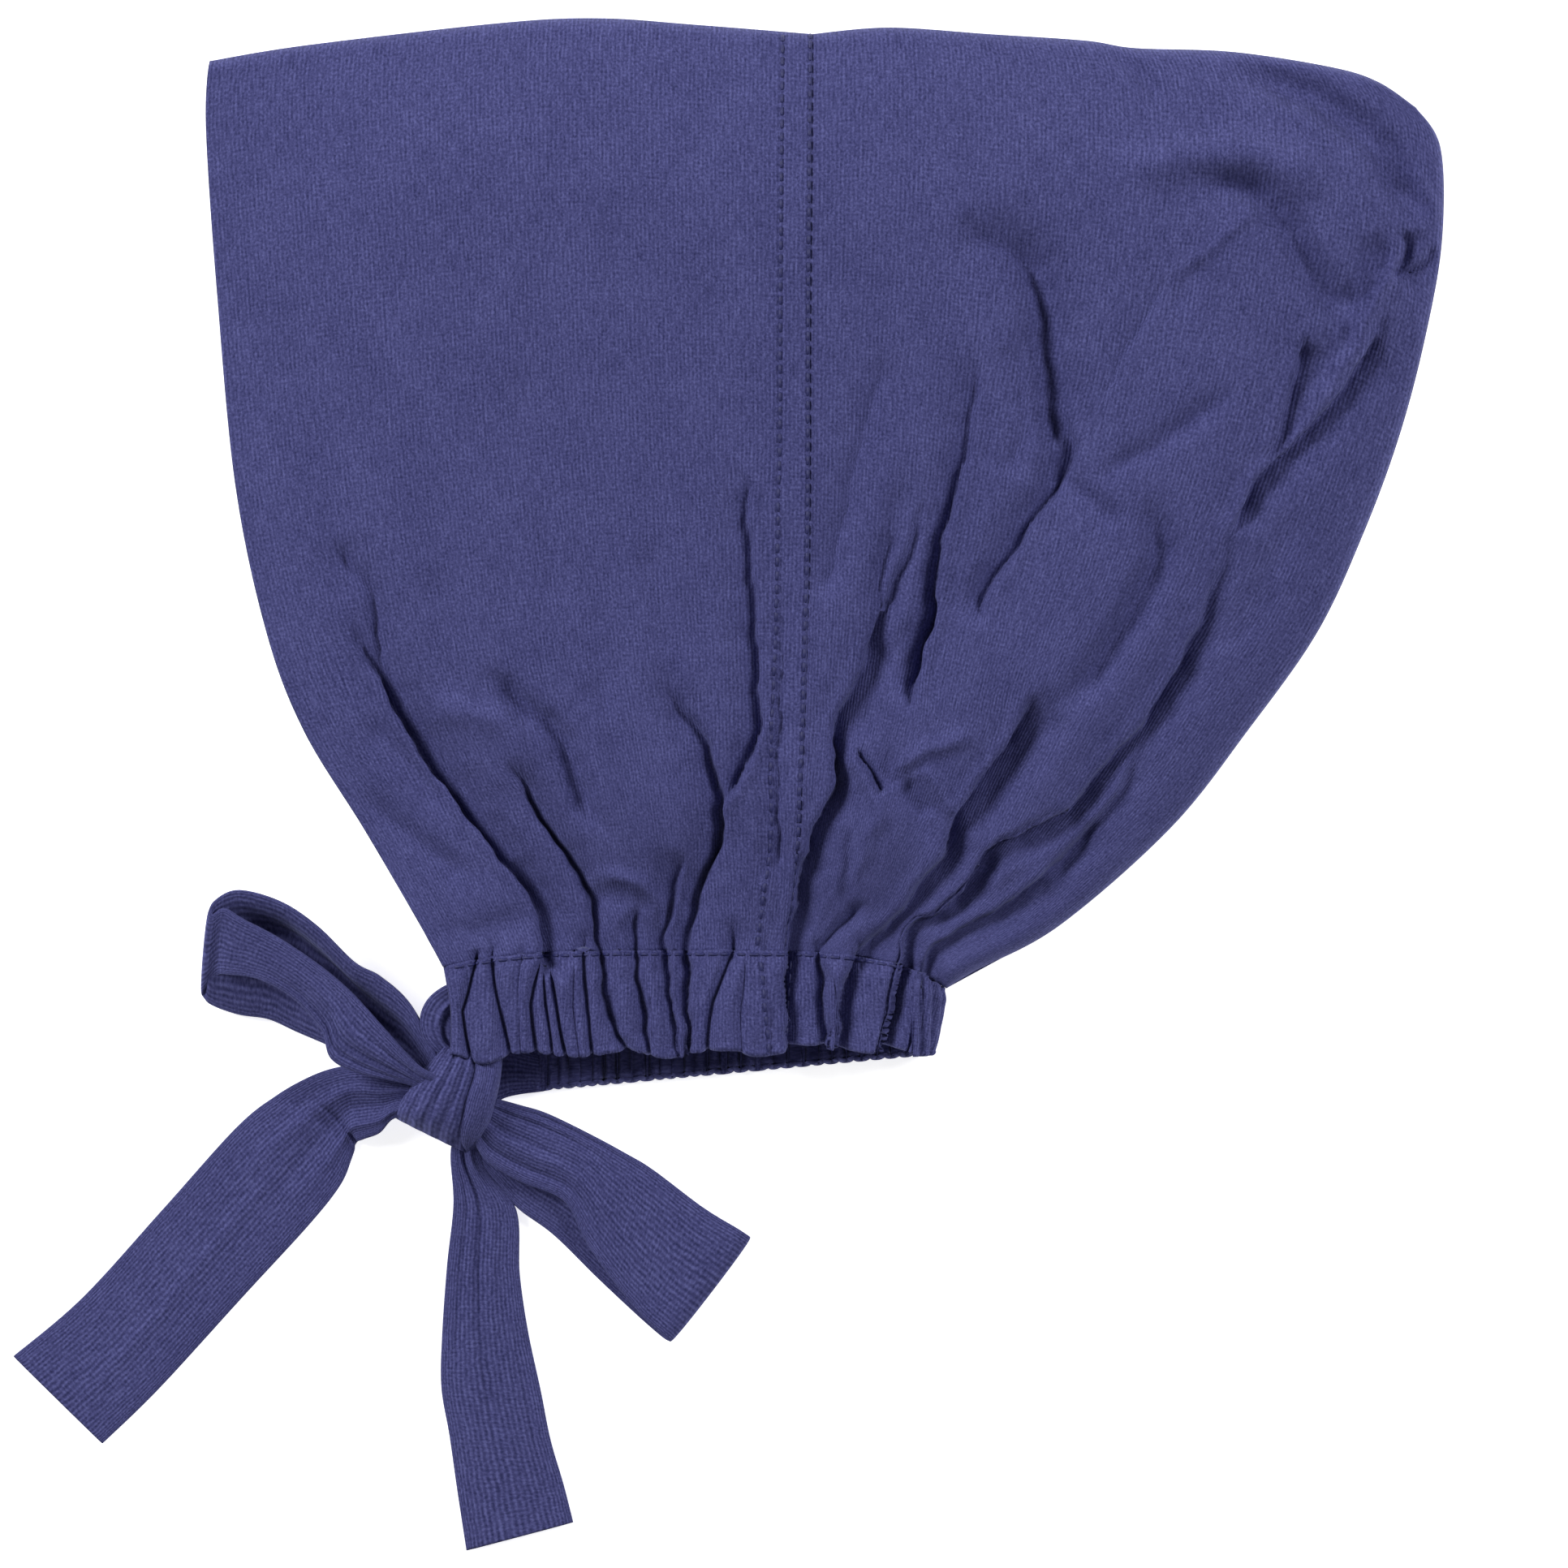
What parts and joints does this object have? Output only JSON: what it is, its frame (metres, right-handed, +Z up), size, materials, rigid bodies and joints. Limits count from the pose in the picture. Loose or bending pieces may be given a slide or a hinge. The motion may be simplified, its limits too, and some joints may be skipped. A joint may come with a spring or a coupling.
{
  "type": "hijab underscarf cap",
  "caption": "Tie-back jersey underscarf cap lying folded flat, with seamed panels, a gathered back, a pleated elastic neck casing and a tied bow.",
  "frame": {"origin": "point of the lower layer on the surface, beside the seam at mid height of the cap", "axes": "+Z up off the surface, +Y towards the crown fold, +X towards the back of the head, face opening at -X"},
  "size_m": [0.2987, 0.3198, 0.0181],
  "materials": {
    "jersey": "matt brushed knit, dusk blue"
  },
  "bodies": {
    "root": {"front_panel": "jersey", "back_panel": "jersey", "neck_casing": "jersey", "bow_knot": "jersey", "tie_lead_upper": "jersey", "tie_lead_lower": "jersey", "tie_tail_left": "jersey", "tie_tail_lower": "jersey", "bow_loop_upper": "jersey", "bow_loop_lower": "jersey"}
  },
  "joints": []
}
